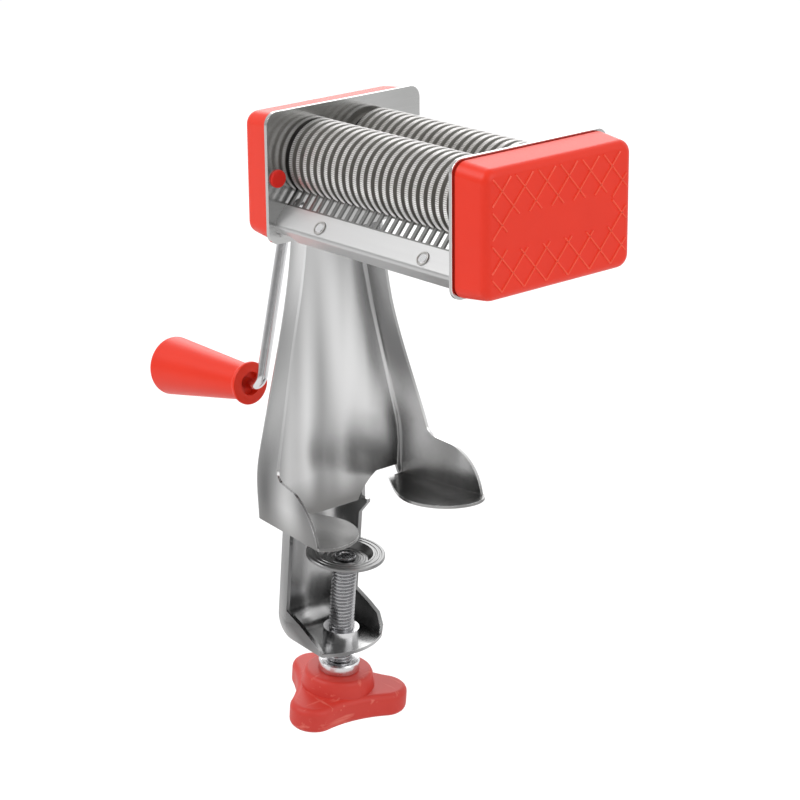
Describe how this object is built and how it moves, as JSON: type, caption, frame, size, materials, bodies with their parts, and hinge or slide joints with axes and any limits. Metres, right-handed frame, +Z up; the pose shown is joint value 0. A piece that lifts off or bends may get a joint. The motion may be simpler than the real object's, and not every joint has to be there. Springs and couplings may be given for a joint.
{
  "type": "hand-cranked noodle cutter",
  "caption": "Hand-cranked noodle cutter: interleaved grooved rollers between side plates with moulded covers, on a sheet-steel stand with a screw table clamp.",
  "frame": {"origin": "on the table top, straight below the middle of the two rollers (midway between the side plates and between the roller axes)", "axes": "+X along the rollers away from the crank, +Y to the back, +Z up"},
  "size_m": [0.2188, 0.0854, 0.2537],
  "materials": {
    "red_plastic": "moulded, satin gloss",
    "polished_steel": "polished",
    "brushed_steel": "brushed",
    "roller_steel": "ground and plated",
    "plated_steel": "bright zinc or nickel plate",
    "gear_steel": "machined, greased",
    "nylon": "moulded"
  },
  "bodies": {
    "frame": {"left_side_plate": "polished_steel", "right_side_plate": "polished_steel", "front_cross_bar": "brushed_steel", "rear_cross_bar": "brushed_steel", "front_comb": "brushed_steel", "rear_comb": "brushed_steel", "comb_rivets": "plated_steel", "shaft_bushes": "nylon", "left_cover": "red_plastic", "right_cover": "red_plastic", "left_cover_pegs": "red_plastic", "right_cover_pegs": "red_plastic", "stand": "brushed_steel", "stand_rivets": "plated_steel", "lower_jaw": "brushed_steel", "jaw_nut": "plated_steel"},
    "front_roller_set": {"front_roller": "roller_steel", "front_gear": "gear_steel", "front_shaft_clips": "plated_steel"},
    "rear_roller_set": {"rear_roller": "roller_steel", "rear_gear": "gear_steel", "rear_shaft_clips": "plated_steel", "crank_rod": "plated_steel"},
    "grip": {"grip": "red_plastic"},
    "pad": {"pressure_pad": "plated_steel"},
    "screw": {"clamp_screw": "plated_steel", "knob_collar": "plated_steel", "clamp_knob": "red_plastic"}
  },
  "joints": [
    {"name": "rear_roller_spin", "type": "hinge", "parent": "frame", "child": "rear_roller_set", "pos_m": [0, 0.01375, 0.1412], "axis": [1, 0, 0], "continuous": true},
    {"name": "front_roller_spin", "type": "hinge", "parent": "frame", "child": "front_roller_set", "pos_m": [0, -0.01375, 0.1412], "axis": [1, 0, 0], "continuous": true},
    {"name": "grip_spin", "type": "hinge", "parent": "rear_roller_set", "child": "grip", "pos_m": [-0.0924, -0.00929, 0.03978], "axis": [-0.9966, -0.0183, -0.0807], "continuous": true},
    {"name": "pad_rise", "type": "slide", "parent": "frame", "child": "pad", "axis": [0.1045, 0, 0.9945], "range_m": [-0.026, 0.007]},
    {"name": "screw_turn", "type": "hinge", "parent": "pad", "child": "screw", "pos_m": [-0.054, 0, -0.034], "axis": [0.1045, 0, 0.9945], "range_deg": [-6300, 1710]}
  ],
  "couplings": [
    {"joint": "front_roller_spin", "follows": "rear_roller_spin", "ratio": -1},
    {"joint": "screw_turn", "follows": "pad_rise", "rad_per_m": 4188.8}
  ]
}
